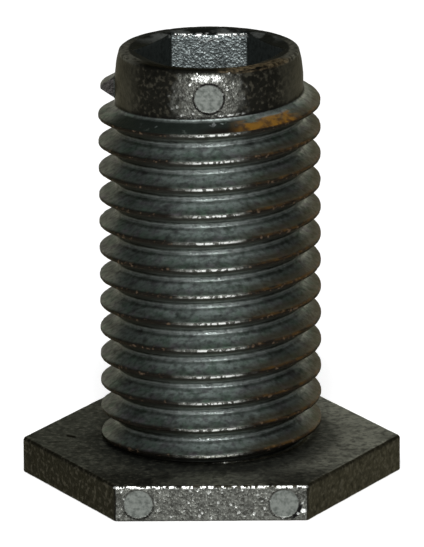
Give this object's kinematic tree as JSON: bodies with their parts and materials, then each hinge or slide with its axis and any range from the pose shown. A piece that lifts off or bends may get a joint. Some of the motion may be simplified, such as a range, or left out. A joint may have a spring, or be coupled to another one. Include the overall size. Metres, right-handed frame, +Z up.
{
  "type": "frame sleeve",
  "caption": "Die-cast adjusting sleeve for window and door frames: hexagonal flange, coarse outside thread, plain collar and hexagon key socket with a screw hole in its floor.",
  "frame": {"origin": "middle of the flange's underside, on the sleeve's axis", "axes": "+Z up the axis from the flange to the collar; -Y towards the flange face with the two ejector-pin marks; +X to the right as seen from there"},
  "size_m": [0.0346, 0.03, 0.04],
  "materials": {
    "cast_metal": "as cast, dark passivated, satin with a fine grain and brown stain in places"
  },
  "bodies": {
    "root": {"frame_sleeve": "cast_metal"}
  },
  "joints": []
}
